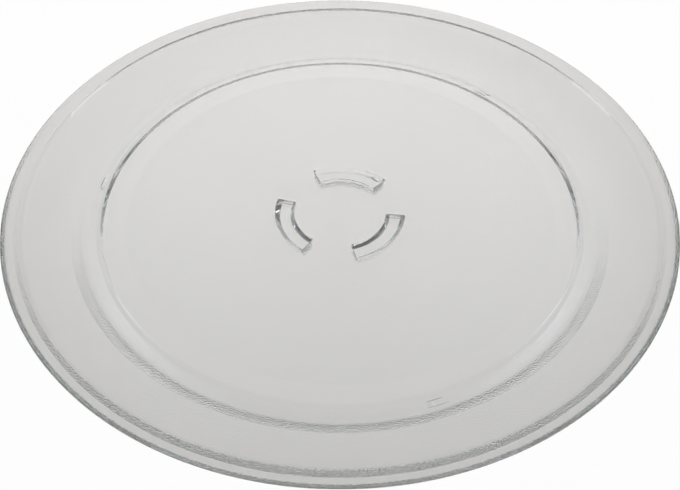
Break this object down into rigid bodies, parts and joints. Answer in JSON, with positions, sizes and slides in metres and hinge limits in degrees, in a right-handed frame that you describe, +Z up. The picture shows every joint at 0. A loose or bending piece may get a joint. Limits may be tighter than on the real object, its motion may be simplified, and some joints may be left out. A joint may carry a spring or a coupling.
{
  "type": "microwave turntable plate",
  "caption": "Round clear pressed-glass plate with a raised rim, a stippled floor and lugs under its centre that a drive coupling turns.",
  "frame": {"origin": "on the turning axis, at the plane of the three lug feet that the plate stands on", "axes": "+Z up along the turning axis; +Y through the middle of one lug"},
  "size_m": [0.36, 0.36, 0.0212],
  "materials": {
    "glass": "clear pressed glass, stippled apart from the roller track, the lugs and the rim edge"
  },
  "bodies": {
    "root": {"turntable_plate": "glass"}
  },
  "joints": []
}
